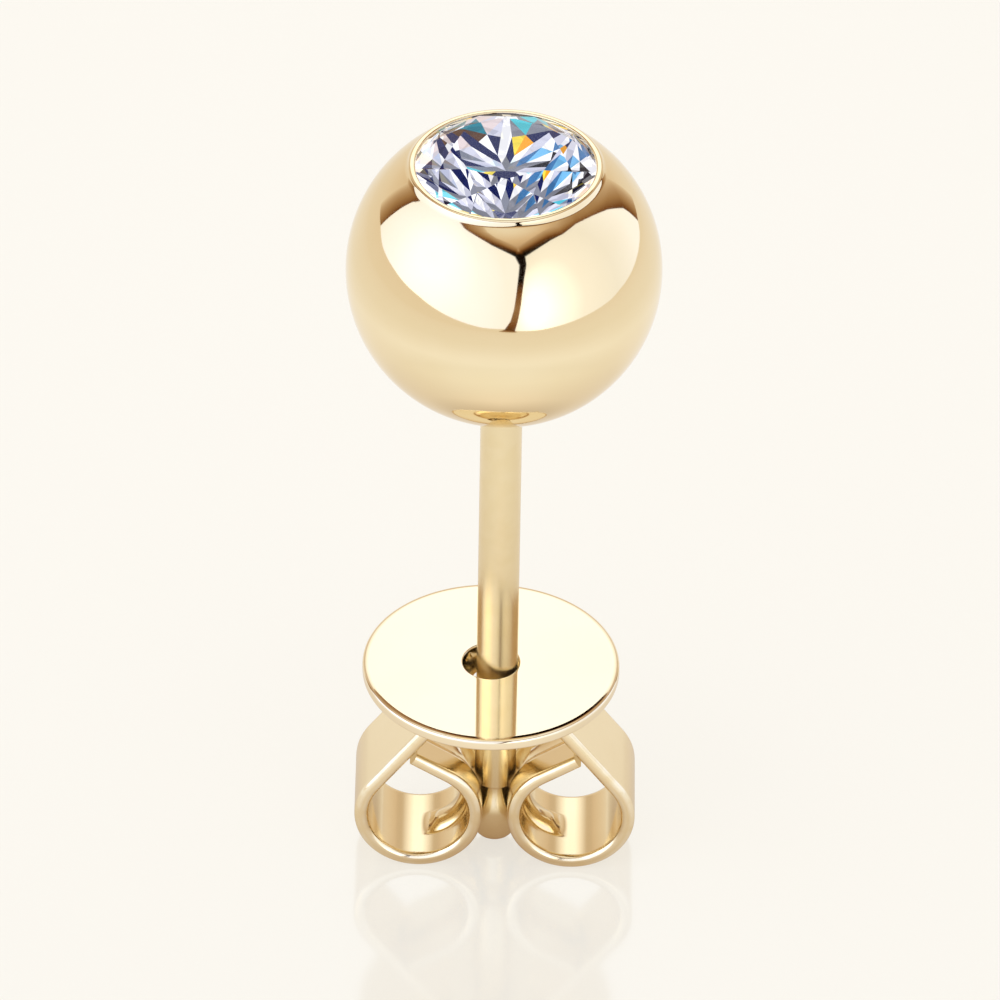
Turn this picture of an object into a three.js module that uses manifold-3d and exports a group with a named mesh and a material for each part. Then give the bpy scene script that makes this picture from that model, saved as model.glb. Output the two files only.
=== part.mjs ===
// Stud earring: a hollow bead of gold-plated silver with one round brilliant stone let into its top,
// on a straight post, and the butterfly clutch that holds it behind the ear lobe. The earring stands
// on the two loops of its clutch, with the stone facing up.
//
// Millimetres, +Z up. The origin is on the surface that the earring stands on, under the post. The
// clutch's loops lie left and right of the post, along X.

import * as THREE from 'three';
import { mergeVertices } from 'three/addons/utils/BufferGeometryUtils.js';
import Module from 'manifold-3d';

const wasm = await Module();
wasm.setup();

// ---------------------------------------------------------------- driving dimensions

const bead = {
  radius: 3.0,
  rings: 24,            // steps from the bead's foot to its bezel
  segments: 60,
  wall: 0.5,            // the bead is a hollow shell, with a cup for the stone let into its top
  cupWall: 0.35,
  innerRings: 12,
};

const bezel = {
  outerRadius: 1.9,     // where the lip leaves the bead's surface
  innerRadius: 1.75,    // the opening that the stone's crown shows through
  rise: 0.105,          // the lip's top above the bead's surface at outerRadius
  soft: 0.045,          // radius of the lip's rounded edges
  seatGap: 0.04,        // play between the stone and its seat
  boreRadius: 0.5,      // the hole in the cup's floor that leaves room for the stone's point
};

const stoneCut = {
  girdleRadius: 1.77,
  girdleBand: 0.05,
  tableShare: 0.57,     // table width over stone width, corner to corner
  starShare: 0.5,       // how far the star facets reach from the table to the girdle
  lowerHalfShare: 0.77, // how far the lower halves reach from the girdle to the point
  crownAngle: 34.5,
  pavilionAngle: 40.8,
  mains: 8,
};

const post = {
  radius: 0.4,
  length: 10.66,        // from the tip to the foot of the bead
  intoBead: 0.4,
  edge: 0.08,           // rounding of the cut tip
  segments: 28,
};

const notch = {
  aboveTip: 1.24,       // the neck that the clutch clicks into
  neckRadius: 0.27,
  neck: 0.02,
  shoulder: 0.14,       // length of the steep side, towards the bead
  flare: 0.55,          // length of the long side, towards the tip
  steps: 6,
};

const pad = {
  radius: 2.5,
  thickness: 0.25,
  edge: 0.06,
  holeRadius: 0.55,
  offset: -0.12,        // the pad is soldered on a little to the left of the strip's middle
  segments: 64,
};

const strip = {
  width: 2.0,
  thickness: 0.27,
  soldered: 0.02,       // how far the strip's seat is sunk into the pad
  pastMiddle: 0.1,      // each half starts this far beyond the post's axis, so the halves join
};

// The route of one half of the strip, from the post's axis outwards and round its loop. It always
// curls the same way. A row is a straight run or a bend, measured along the middle of the sheet.
// groove is the share of the full groove depth that is reached at the row's end.
const scroll = [
  { part: 'seat under the pad', run: 0.69, steps: 1, groove: 0 },
  { part: 'shoulder', radius: 0.25, turn: 53, steps: 4, groove: 0 },
  { part: 'arm', run: 2.48, steps: 1, groove: 0 },
  { part: 'outer side', radius: 1.115, turn: 121, steps: 10, groove: 0 },
  { part: 'floor of the loop', radius: 1.115, turn: 12, steps: 1, groove: 0 },
  { part: 'groove run-in', radius: 1.115, turn: 12, steps: 1, groove: 0.9 },
  { part: 'rise to the post', radius: 1.115, turn: 72, steps: 6, groove: 1 },
  { part: 'nape', radius: 1.115, turn: 58, steps: 5, groove: 0.8 },
  { part: 'tail', run: 0.82, steps: 1, groove: 0.6 },
];

const groove = {
  clearance: 0.02,      // between the post and the groove it runs in
  samples: 8,           // facets across the groove
};

const tipAboveFloor = 0.13; // the clutch is pushed on until the tip is almost level with its loops

// ---------------------------------------------------------------- materials

const gold = { color: 0xe9cf9c, roughness: 0.12, metalness: 1.0 };
const crystal = { color: 0xe6ebf5, roughness: 0.02, metalness: 0.0 };

// ---------------------------------------------------------------- making and joining solids

// A closed geometry with shared corners and no flat triangles.
function closed(geometry) {
  const bare = new THREE.BufferGeometry();
  bare.setAttribute('position', geometry.getAttribute('position').clone());
  bare.setIndex(geometry.getIndex());
  const merged = mergeVertices(bare, 1e-5);
  const index = merged.getIndex().array;
  const kept = [];
  for (let i = 0; i < index.length; i += 3) {
    const [a, b, c] = [index[i], index[i + 1], index[i + 2]];
    if (a !== b && b !== c && c !== a) kept.push(a, b, c);
  }
  merged.setIndex(kept);
  return merged;
}

function toSolid(geometry) {
  const mesh = closed(geometry);
  return new wasm.Manifold(new wasm.Mesh({
    numProp: 3,
    vertProperties: new Float32Array(mesh.getAttribute('position').array),
    triVerts: new Uint32Array(mesh.getIndex().array),
  }));
}

function toGeometry(solid) {
  const mesh = solid.getMesh();
  const geometry = new THREE.BufferGeometry();
  geometry.setAttribute('position', new THREE.BufferAttribute(mesh.vertProperties, 3));
  geometry.setIndex(Array.from(mesh.triVerts));
  geometry.computeVertexNormals();
  return geometry;
}

function flipped(geometry) {
  const index = geometry.getIndex().array;
  for (let i = 0; i < index.length; i += 3) {
    [index[i], index[i + 1]] = [index[i + 1], index[i]];
  }
  return geometry;
}

// Turns a profile of [radius, height] pairs, listed from the bottom up, about the Z axis.
function turned(profile, segments) {
  const points = profile.map(([r, z]) => new THREE.Vector2(r, z));
  return closed(new THREE.LatheGeometry(points, segments).rotateX(Math.PI / 2));
}

// Points of an arc in a profile, from one angle to the other, in degrees from the radius axis.
function arc(centre, radius, from, to, steps) {
  return Array.from({ length: steps + 1 }, (_, i) => {
    const angle = THREE.MathUtils.degToRad(from + (to - from) * i / steps);
    return [centre[0] + radius * Math.cos(angle), centre[1] + radius * Math.sin(angle)];
  });
}

function named(name, geometry, look) {
  const mesh = new THREE.Mesh(geometry, new THREE.MeshStandardMaterial(look));
  mesh.name = name;
  return mesh;
}

// ---------------------------------------------------------------- bead and post

const tan = (degrees) => Math.tan(THREE.MathUtils.degToRad(degrees));

const beadAboveTip = post.length + bead.radius;

// Heights above the bead's centre.
const lipFoot = Math.sqrt(bead.radius ** 2 - bezel.outerRadius ** 2);
const lipTop = lipFoot + bezel.rise;
const girdleTop = lipTop - 2 * bezel.soft - bezel.seatGap;
const girdleFoot = girdleTop - stoneCut.girdleBand;

// The bead's outside with the bezel's lip, then the cup that follows the underside of the stone, and
// through the hole in the cup's floor the inside of the shell.
function beadProfile() {
  const { outerRadius, innerRadius, soft, seatGap, boreRadius } = bezel;
  const latitude = (height, radius) => THREE.MathUtils.radToDeg(Math.asin(height / radius));
  const slope = tan(stoneCut.pavilionAngle);
  const wallRadius = stoneCut.girdleRadius + seatGap;
  const seatApex = girdleFoot - seatGap - stoneCut.girdleRadius * slope;
  const cupApex = seatApex - bead.cupWall * Math.hypot(1, slope);
  const hollow = bead.radius - bead.wall;
  const cupRadius = (Math.sqrt((hollow * Math.hypot(1, slope)) ** 2 - cupApex ** 2) - slope * cupApex)
    / (1 + slope ** 2);
  return [
    ...arc([0, 0], bead.radius, -90, latitude(lipFoot, bead.radius), bead.rings),
    ...arc([outerRadius - 2 * soft, lipTop - soft], soft, 0, 90, 3),
    ...arc([innerRadius + soft, lipTop - soft], soft, 90, 180, 3),
    [innerRadius, lipTop - 2 * soft],
    [wallRadius, lipTop - 2 * soft],
    [wallRadius, seatApex + wallRadius * slope],
    [boreRadius, seatApex + boreRadius * slope],
    [boreRadius, cupApex + boreRadius * slope],
    ...arc([0, 0], hollow, latitude(cupApex + cupRadius * slope, hollow), -90, bead.innerRings),
  ];
}

// The post from its cut tip up into the bead. Below the notch the post swells out again slowly.
function postProfile() {
  const swell = (from, to, share) => THREE.MathUtils.lerp(from, to, (1 - Math.cos(Math.PI * share)) / 2);
  const side = (foot, length, from, to) => Array.from({ length: notch.steps + 1 }, (_, i) => {
    const share = i / notch.steps;
    return [swell(from, to, share), foot + length * share];
  });
  return [
    [0, 0],
    ...arc([post.radius - post.edge, post.edge], post.edge, -90, 0, 4),
    ...side(notch.aboveTip - notch.flare, notch.flare, post.radius, notch.neckRadius),
    ...side(notch.aboveTip + notch.neck, notch.shoulder, notch.neckRadius, post.radius),
    [post.radius, post.length + post.intoBead],
    [0, post.length + post.intoBead],
  ];
}

function beadAndPost() {
  const ball = turned(beadProfile(), bead.segments).translate(0, 0, beadAboveTip);
  return toGeometry(toSolid(ball).add(toSolid(turned(postProfile(), post.segments))));
}

// ---------------------------------------------------------------- stone

// A round brilliant, its heights measured from the top of its girdle. Eight mains each have a corner
// at the table, on the girdle and at the point, and the halves lie between them.
function brilliant() {
  const { girdleRadius: full, mains } = stoneCut;
  const half = Math.PI / mains;
  const table = full * stoneCut.tableShare;
  const tableEdge = table * Math.cos(half);
  const star = tableEdge + stoneCut.starShare * (full - tableEdge);
  const lower = full * (1 - stoneCut.lowerHalfShare);
  const crown = (radius) => (full - radius) * tan(stoneCut.crownAngle);
  const pavilion = (radius) => -stoneCut.girdleBand - (full - radius) * tan(stoneCut.pavilionAngle);
  const at = (radius, step, height) =>
    [radius * Math.cos(step * half), radius * Math.sin(step * half), height];

  const corners = [[0, 0, pavilion(0)]];
  const ring = (count, make) => Array.from({ length: count }, (_, i) => corners.push(make(i)) - 1);
  const tableRing = ring(mains, (i) => at(table, 2 * i, crown(table)));
  const starRing = ring(mains, (i) => at(star, 2 * i + 1, crown(star * Math.cos(half))));
  const upperRing = ring(2 * mains, (i) => at(full, i, 0));
  const lowerRing = ring(2 * mains, (i) => at(full, i, -stoneCut.girdleBand));
  const halfRing = ring(mains, (i) => at(lower, 2 * i + 1, pavilion(lower * Math.cos(half))));

  const facets = [tableRing];
  for (let i = 0; i < mains; i += 1) {
    const next = (i + 1) % mains;
    const last = (i + mains - 1) % mains;
    const [here, between, there] = [2 * i, 2 * i + 1, (2 * i + 2) % (2 * mains)];
    facets.push(
      [tableRing[i], starRing[i], tableRing[next]],
      [tableRing[i], starRing[last], upperRing[here], starRing[i]],
      [starRing[i], upperRing[here], upperRing[between]],
      [starRing[i], upperRing[between], upperRing[there]],
      [upperRing[here], lowerRing[here], lowerRing[between], upperRing[between]],
      [upperRing[between], lowerRing[between], lowerRing[there], upperRing[there]],
      [halfRing[i], lowerRing[between], lowerRing[here]],
      [halfRing[i], lowerRing[there], lowerRing[between]],
      [0, halfRing[i], lowerRing[here], halfRing[last]],
    );
  }
  const geometry = new THREE.BufferGeometry();
  geometry.setAttribute('position', new THREE.Float32BufferAttribute(corners.flat(), 3));
  geometry.setIndex(facets.flatMap((facet) =>
    facet.slice(2).flatMap((corner, i) => [facet[0], facet[i + 1], corner])));
  geometry.computeVertexNormals();
  return geometry;
}

// ---------------------------------------------------------------- clutch

// The middle line of the left half, in the XZ plane, with z measured from the pad's top face.
function scrollStations() {
  const foot = -pad.thickness - strip.thickness / 2 + strip.soldered;
  const place = new THREE.Vector2(strip.pastMiddle, foot);
  let heading = Math.PI;
  let depth = 0;
  const stations = [{ place: place.clone(), heading, depth }];
  for (const row of scroll) {
    const turn = THREE.MathUtils.degToRad(row.turn ?? 0) / row.steps;
    const run = (row.run ?? 0) + (stations.length === 1 ? strip.pastMiddle : 0);
    const chord = row.radius ? 2 * row.radius * Math.sin(turn / 2) : run / row.steps;
    const startDepth = depth;
    for (let i = 1; i <= row.steps; i += 1) {
      const along = heading + turn / 2;
      place.x += chord * Math.cos(along);
      place.y += chord * Math.sin(along);
      heading += turn;
      depth = THREE.MathUtils.lerp(startDepth, row.groove, i / row.steps);
      stations.push({ place: place.clone(), heading, depth });
    }
  }
  return stations;
}

// The sheet's outer side, away from the middle of the loop, at a station.
function outerSide({ place, heading }) {
  const outward = new THREE.Vector2(Math.sin(heading), -Math.cos(heading));
  return place.clone().addScaledVector(outward, strip.thickness / 2);
}

const stations = scrollStations();
const padTop = -Math.min(...stations.map((station) => outerSide(station).y));
const postGap = -Math.max(...stations.slice(2).map((station) => outerSide(station).x));

// The groove is a round channel pressed into the sheet from outside, so that the post fits it.
const grooveRadius = post.radius + groove.clearance;
const grooveHalfWidth = Math.sqrt(grooveRadius ** 2 - postGap ** 2);

function widthSamples() {
  const across = Array.from({ length: groove.samples + 1 }, (_, i) =>
    grooveHalfWidth * (2 * i / groove.samples - 1));
  return [-strip.width / 2, ...across, strip.width / 2];
}

function pressedIn(y) {
  return Math.max(0, Math.sqrt(Math.max(0, grooveRadius ** 2 - y ** 2)) - postGap);
}

// The left half of the strip, swept along its stations.
function scrollHalf() {
  const ys = widthSamples();
  const corners = [];
  for (const { place, heading, depth } of stations) {
    const outward = new THREE.Vector2(Math.sin(heading), -Math.cos(heading));
    for (const side of [1, -1]) {
      for (const y of ys) {
        const offset = side * strip.thickness / 2 - depth * pressedIn(y);
        corners.push(place.x + outward.x * offset, y, place.y + outward.y * offset);
      }
    }
  }
  const count = ys.length;
  const section = 2 * count;
  const loop = [
    ...Array.from({ length: count }, (_, i) => i),
    ...Array.from({ length: count }, (_, i) => section - 1 - i),
  ];
  const index = [];
  const quad = (a, b, c, d) => index.push(a, b, c, a, c, d);
  for (let s = 0; s + 1 < stations.length; s += 1) {
    loop.forEach((corner, i) => {
      const next = loop[(i + 1) % section];
      quad(s * section + corner, s * section + next, (s + 1) * section + next, (s + 1) * section + corner);
    });
  }
  const last = (stations.length - 1) * section;
  for (let i = 0; i + 1 < count; i += 1) {
    quad(i, count + i, count + i + 1, i + 1);
    quad(last + i, last + i + 1, last + count + i + 1, last + count + i);
  }
  const geometry = new THREE.BufferGeometry();
  geometry.setAttribute('position', new THREE.Float32BufferAttribute(corners, 3));
  geometry.setIndex(index);
  return geometry;
}

function padDisc() {
  const { radius, thickness, edge } = pad;
  return turned([
    [0, -thickness],
    ...arc([radius - edge, -thickness + edge], edge, -90, 0, 2),
    ...arc([radius - edge, -edge], edge, 0, 90, 2),
    [0, 0],
  ], pad.segments).translate(pad.offset, 0, 0);
}

function postHole() {
  const depth = pad.thickness + strip.thickness + 1;
  return new THREE.CylinderGeometry(pad.holeRadius, pad.holeRadius, 2 * depth, 36)
    .rotateX(Math.PI / 2).translate(pad.offset, 0, 0);
}

function clutchSolid() {
  const left = scrollHalf();
  const right = flipped(scrollHalf().scale(-1, 1, 1));
  return toGeometry(toSolid(left).add(toSolid(right)).add(toSolid(padDisc())).subtract(toSolid(postHole())));
}

// ---------------------------------------------------------------- the earring

const stud = new THREE.Group();
const beadPart = named('bead_and_post', beadAndPost(), gold);
beadPart.position.z = tipAboveFloor;
const stone = named('stone', brilliant(), crystal);
stone.position.z = tipAboveFloor + beadAboveTip + girdleTop;
stud.add(beadPart, stone);

const clutch = named('clutch', clutchSolid(), gold);
clutch.position.z = padTop;

const earring = new THREE.Group();
earring.add(stud, clutch);

export default earring;
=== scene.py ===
# %% [markdown]
# # A stud earring and its clutch
# This lesson dresses a small piece of jewellery for its portrait. The earring is a polished gold-plated
# bead with a round brilliant stone let into its top, a straight post, and a butterfly clutch bent from
# one strip of sheet. The working model is already made and packed; here it is loaded as a frame that
# nothing may move or resize. Every visible piece is then made again with a fine surface, in the place
# that the frame gives.

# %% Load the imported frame
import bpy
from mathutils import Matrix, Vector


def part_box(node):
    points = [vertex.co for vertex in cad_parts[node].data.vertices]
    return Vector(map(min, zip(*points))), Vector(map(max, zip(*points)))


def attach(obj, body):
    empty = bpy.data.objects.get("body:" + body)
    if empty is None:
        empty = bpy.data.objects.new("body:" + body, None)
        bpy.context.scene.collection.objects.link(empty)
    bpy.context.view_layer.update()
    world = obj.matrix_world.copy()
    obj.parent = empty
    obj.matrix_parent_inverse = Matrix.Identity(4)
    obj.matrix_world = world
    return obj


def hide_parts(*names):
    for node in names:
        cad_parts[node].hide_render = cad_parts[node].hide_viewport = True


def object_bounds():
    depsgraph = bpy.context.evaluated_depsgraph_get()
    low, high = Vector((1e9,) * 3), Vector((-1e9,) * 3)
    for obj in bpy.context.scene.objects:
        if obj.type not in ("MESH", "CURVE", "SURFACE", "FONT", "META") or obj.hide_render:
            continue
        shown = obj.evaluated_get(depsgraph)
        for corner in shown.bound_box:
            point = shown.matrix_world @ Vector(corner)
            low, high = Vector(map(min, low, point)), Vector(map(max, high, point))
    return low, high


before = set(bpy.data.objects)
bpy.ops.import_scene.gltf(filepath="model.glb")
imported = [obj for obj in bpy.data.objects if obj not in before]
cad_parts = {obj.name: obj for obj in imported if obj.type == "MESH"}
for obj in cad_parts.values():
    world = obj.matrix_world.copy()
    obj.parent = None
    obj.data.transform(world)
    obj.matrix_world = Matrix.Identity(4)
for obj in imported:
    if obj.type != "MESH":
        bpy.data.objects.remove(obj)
cad_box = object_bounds()

# %% [markdown]
# Blender measures in metres and a jeweller in millimetres, so MM turns one into the other. The places
# could be typed in again as numbers, but taken from the frame's boxes they can't drift away from the
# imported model: how high the post's tip stands, how wide the bead is, where the stone lies. The packed
# bead has facets, so its box is a hair narrower than the round of 3 mm that it was drawn from.

# %% Measures that everything else is worked out from
import math

import bmesh
import bpy
from mathutils import Matrix, Vector

MM = 0.001
bead_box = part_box("bead_and_post")
stone_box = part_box("stone")
clutch_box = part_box("clutch")

bead_radius = bead_box[1].x
round_radius = 3.0 * MM
tip_height = bead_box[0].z
post_length = 10.66 * MM
bead_height = tip_height + post_length + round_radius
lip_top = bead_box[1].z
pad_top = clutch_box[1].z
print(f"bead {2000 * bead_radius:.2f} mm wide, its middle {1000 * bead_height:.2f} mm up")
print(f"pad's top {1000 * pad_top:.2f} mm up, stone's table {1000 * stone_box[1].z:.2f} mm up")

# %% [markdown]
# A node tree can be drawn by hand in the editor, but written out it can be read and built again. It
# reads best when each node takes one line: `put` places a node, sets its switches and either links or
# fills its inputs, `sum_up` does so for a sum, and `new_tree` starts a group. They serve geometry and
# shader trees alike. The last two helpers start a material and an object.

# %% Helpers for node trees
def put(tree, kind, inputs=None, **settings):
    """Adds a node. An input is given by name or number, as a value or as another node's socket."""
    made = tree.nodes.new(kind)
    for name, value in settings.items():
        setattr(made, name, value)
    for key, value in (inputs or {}).items():
        if isinstance(value, bpy.types.NodeSocket):
            tree.links.new(value, made.inputs[key])
        else:
            made.inputs[key].default_value = value
    return made


def sum_up(tree, operation, *values):
    """Adds a Math node and returns its result."""
    return put(tree, "ShaderNodeMath", dict(enumerate(values)), operation=operation).outputs[0]


def new_tree(name, kind, inputs, outputs):
    """Starts a node group whose sockets are given as {name: (type, value)}."""
    tree = bpy.data.node_groups.new(name, kind)
    for way, sockets in (("INPUT", inputs), ("OUTPUT", outputs)):
        for label, (socket_type, value) in sockets.items():
            socket = tree.interface.new_socket(label, in_out=way, socket_type=socket_type)
            if value is not None:
                socket.default_value = value
    return tree, tree.nodes.new("NodeGroupInput").outputs, tree.nodes.new("NodeGroupOutput").inputs


def new_material(name, empty=False):
    """Starts a material and returns it with its tree; an empty one has no Principled shader."""
    material = bpy.data.materials.new(name)
    material.use_nodes = True
    if empty:
        material.node_tree.nodes.clear()
    return material, material.node_tree


def in_scene(name, data):
    """Puts a mesh or a camera into the scene as an object."""
    made = bpy.data.objects.new(name, data)
    bpy.context.scene.collection.objects.link(made)
    return made


print("helpers:", [helper.__name__ for helper in (put, sum_up, new_tree, new_material, in_scene)])

# %% [markdown]
# A Geometry Nodes tree turns a simple line into a whole piece. `shaped` draws the line, hands the tree
# its sizes, and keeps the result as a plain mesh, because a finished piece should carry no modifier.
# Afterwards its seams are merged, its faces are turned outwards, and edges that are really sharp are
# marked, so that all the rest can shade smoothly.

# %% From a line to a finished mesh
WELD = 1e-8
SHARP_ANGLE = math.radians(40)


def tidy_shell(piece):
    """Closes seams and poles, points the faces outwards and marks the true edges."""
    shell = bmesh.new()
    shell.from_mesh(piece.data)
    bmesh.ops.remove_doubles(shell, verts=shell.verts, dist=WELD)
    bmesh.ops.recalc_face_normals(shell, faces=shell.faces)
    open_edges = sum(not edge.is_manifold for edge in shell.edges)
    shell.to_mesh(piece.data)
    shell.free()
    piece.data.shade_smooth()
    piece.data.set_sharp_from_angle(angle=SHARP_ANGLE)
    print(f"{piece.name}: {len(piece.data.polygons)} faces, {open_edges} open edges")
    return piece


def shaped(name, mesh, tree, values):
    """Runs a Geometry Nodes tree on a mesh and returns the result as an object with a plain mesh."""
    piece = in_scene(name, mesh)
    modifier = piece.modifiers.new("shape", "NODES")
    modifier.node_group = tree
    for item in tree.interface.items_tree:
        if item.in_out == "INPUT" and item.name in values:
            modifier[item.identifier] = values[item.name]
    depsgraph = bpy.context.evaluated_depsgraph_get()
    result = bpy.data.meshes.new_from_object(piece.evaluated_get(depsgraph), depsgraph=depsgraph)
    piece.modifiers.clear()
    piece.data = result
    result.name = name
    result.materials.clear()
    result.materials.append(values["Finish"])
    result.polygons.foreach_set("material_index", [0] * len(result.polygons))
    return piece


def line_mesh(name, points, closed=False):
    """A line through points, as a mesh of edges."""
    mesh = bpy.data.meshes.new(name + "_line")
    edges = [(i, i + 1) for i in range(len(points) - 1)]
    if closed:
        edges.append((len(points) - 1, 0))
    mesh.from_pydata(points, edges, [])
    return mesh


def arc(centre, radius, start, end, steps):
    """Points of an arc in an outline of (radius, height) pairs, between two angles in degrees."""
    turns = [math.radians(start + (end - start) * i / steps) for i in range(steps + 1)]
    return [(centre[0] + radius * math.cos(t), centre[1] + radius * math.sin(t)) for t in turns]


# %% [markdown]
# ## Finishes
# Gold plate is a mirror with a colour. What keeps a mirror from looking like a computer's idea of one
# is its small unevenness: the plating's tone drifts a little from place to place, the polishing wheel
# leaves hairlines and a breath of haze, and edges are rubbed brighter. A painted texture could show all
# this, but it would blur close up and need seams; noise in the piece's own space needs neither. Four
# gold finishes share the effects, so each is a node group, built once and placed in every material with
# its own values.

# %% Node group: plating tone
def plating_tone_group():
    """The plate's colour, drifting between a pale and a warm tone in soft patches."""
    tree, given, out = new_tree("plating_tone", "ShaderNodeTree", {
        "Pale": ("NodeSocketColor", (0.9, 0.8, 0.56, 1)),
        "Warm": ("NodeSocketColor", (0.88, 0.76, 0.5, 1)),
        "Patch Scale": ("NodeSocketFloat", 300.0),
    }, {"Color": ("NodeSocketColor", None)})
    place = put(tree, "ShaderNodeTexCoord").outputs["Object"]
    patches = put(tree, "ShaderNodeTexNoise", {
        "Vector": place, "Scale": given["Patch Scale"], "Detail": 3.0, "Roughness": 0.55})
    share = put(tree, "ShaderNodeMapRange", {
        "Value": patches.outputs[0], "From Min": 0.35, "From Max": 0.65}, clamp=True)
    # A Mix node has sockets for each kind of data; numbers 6 and 7 are its colours.
    mix = put(tree, "ShaderNodeMix", {0: share.outputs[0], 6: given["Pale"], 7: given["Warm"]},
              data_type="RGBA")
    tree.links.new(mix.outputs[2], out["Color"])
    return tree


plating_tone = plating_tone_group()
print("group:", plating_tone.name)

# %% [markdown]
# Polishing leaves two marks. Haze is a soft change of gloss over millimetres. Hairlines are fine
# parallel scratches: noise that is stretched along one direction, so a Stretch vector sets which way
# they run on each piece. The shader's Anisotropic input could stand in for them, but it would smear
# every highlight on a piece that should stay a mirror.

# %% Node group: polish
HAZE_SCALE, HAIRLINE_SCALE = 900.0, 6000.0
HAIRLINE_HEIGHT = 0.3


def polish_group():
    """Roughness with haze and hairlines, and a faint height for the Bump node."""
    tree, given, out = new_tree("polish", "ShaderNodeTree", {
        "Roughness": ("NodeSocketFloat", 0.08),
        "Haze": ("NodeSocketFloat", 0.03),
        "Hairlines": ("NodeSocketFloat", 0.02),
        "Stretch": ("NodeSocketVector", (1.0, 1.0, 1.0)),
    }, {"Roughness": ("NodeSocketFloat", None), "Height": ("NodeSocketFloat", None)})
    place = put(tree, "ShaderNodeTexCoord").outputs["Object"]
    haze = put(tree, "ShaderNodeTexNoise", {
        "Vector": place, "Scale": HAZE_SCALE, "Detail": 4.0}).outputs[0]
    stretched = put(tree, "ShaderNodeVectorMath", {0: place, 1: given["Stretch"]}, operation="MULTIPLY")
    lines = put(tree, "ShaderNodeTexNoise", {
        "Vector": stretched.outputs[0], "Scale": HAIRLINE_SCALE, "Detail": 5.0,
        "Roughness": 0.7}).outputs[0]
    hazy = sum_up(tree, "MULTIPLY_ADD", haze, given["Haze"], given["Roughness"])
    lined = sum_up(tree, "MULTIPLY_ADD", lines, given["Hairlines"], hazy)
    tree.links.new(lined, out["Roughness"])
    tree.links.new(sum_up(tree, "MULTIPLY_ADD", lines, HAIRLINE_HEIGHT, haze), out["Height"])
    return tree


polish = polish_group()
print("group:", polish.name)

# %% [markdown]
# Edges that are touched and wiped stay brightest. The renderer can guess edges as Pointiness, but that
# changes with how finely a mesh is divided. So each metal piece carries a measured number named "edge"
# on its points: 1 on tight outward curves, 0 on broad surfaces. The group breaks that mask up with
# noise, so that the wear isn't an even stripe.

# %% Node group: edge wear
def edge_wear_group():
    """A mask of rubbed edges, from the piece's own "edge" attribute."""
    tree, given, out = new_tree("edge_wear", "ShaderNodeTree", {
        "Amount": ("NodeSocketFloat", 0.6),
        "Break Up": ("NodeSocketFloat", 2500.0),
    }, {"Mask": ("NodeSocketFloat", None)})
    edge = put(tree, "ShaderNodeAttribute", attribute_name="edge").outputs["Fac"]
    place = put(tree, "ShaderNodeTexCoord").outputs["Object"]
    noise = put(tree, "ShaderNodeTexNoise", {"Vector": place, "Scale": given["Break Up"]}).outputs[0]
    broken = put(tree, "ShaderNodeMapRange", {
        "Value": noise, "From Min": 0.35, "From Max": 0.6}).outputs[0]
    rubbed = sum_up(tree, "MULTIPLY", edge, broken)
    tree.links.new(sum_up(tree, "MULTIPLY", rubbed, given["Amount"]), out["Mask"])
    return tree


edge_wear = edge_wear_group()
print("group:", edge_wear.name)

# %% [markdown]
# A metal then is one Principled shader fed by the three groups. Metallic is a plain 1: plate is metal
# all over. The bump is measured in fractions of a micrometre, or the bead would lose its mirror.

# %% The gold finishes
BEAD_GOLD = (0.91, 0.78, 0.52, 1), (0.89, 0.75, 0.48, 1)
POST_GOLD = (0.86, 0.73, 0.46, 1), (0.84, 0.7, 0.43, 1)
PAD_GOLD = (0.92, 0.81, 0.59, 1), (0.91, 0.79, 0.56, 1)
RUBBED_GOLD = (0.97, 0.9, 0.72, 1)


def gold_finish(name, tones, roughness, haze, hairlines, stretch, wear, bump_depth):
    """A polished gold plate; stretch sets the way its hairlines run, as small numbers along the line."""
    material, tree = new_material(name)
    metal = tree.nodes["Principled BSDF"]
    metal.inputs["Metallic"].default_value = 1.0
    tone = put(tree, "ShaderNodeGroup", {"Pale": tones[0], "Warm": tones[1]}, node_tree=plating_tone)
    gloss = put(tree, "ShaderNodeGroup", {
        "Roughness": roughness, "Haze": haze, "Hairlines": hairlines, "Stretch": stretch},
        node_tree=polish)
    rubbed = put(tree, "ShaderNodeGroup", {"Amount": wear}, node_tree=edge_wear)
    mix = put(tree, "ShaderNodeMix", {0: rubbed.outputs["Mask"], 6: tone.outputs["Color"],
                                      7: RUBBED_GOLD}, data_type="RGBA")
    tree.links.new(mix.outputs[2], metal.inputs["Base Color"])
    tree.links.new(gloss.outputs["Roughness"], metal.inputs["Roughness"])
    bump = put(tree, "ShaderNodeBump", {"Strength": 1.0, "Distance": bump_depth,
                                        "Height": gloss.outputs["Height"]})
    tree.links.new(bump.outputs[0], metal.inputs["Normal"])
    return material


ROUND_THE_AXIS = (1.0, 1.0, 6.0)
ALONG_THE_POST = (4.0, 4.0, 0.25)
ALONG_THE_STRIP = (0.4, 5.0, 0.4)
bead_gold = gold_finish("bead_gold", BEAD_GOLD, 0.035, 0.02, 0.01, ROUND_THE_AXIS, 0.5, 0.00002 * MM)
post_gold = gold_finish("post_gold", POST_GOLD, 0.22, 0.03, 0.04, ALONG_THE_POST, 0.4, 0.00005 * MM)
pad_gold = gold_finish("pad_gold", PAD_GOLD, 0.03, 0.03, 0.02, ROUND_THE_AXIS, 0.6, 0.00003 * MM)
strip_gold = gold_finish("strip_gold", BEAD_GOLD, 0.1, 0.05, 0.05, ALONG_THE_STRIP, 0.7, 0.00006 * MM)
print("finishes:", [m.name for m in (bead_gold, post_gold, pad_gold, strip_gold)])

# %% [markdown]
# The edge mask needs to know where a surface turns tightly outwards. For each edge of the mesh, the
# angle between its two faces over the distance between them is the curvature there. A point takes
# the largest curvature of its edges, and a radius tighter than about a tenth of a millimetre counts
# as an edge.

# %% Measure where the edges are
EDGE_RADIUS = 0.1 * MM


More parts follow.
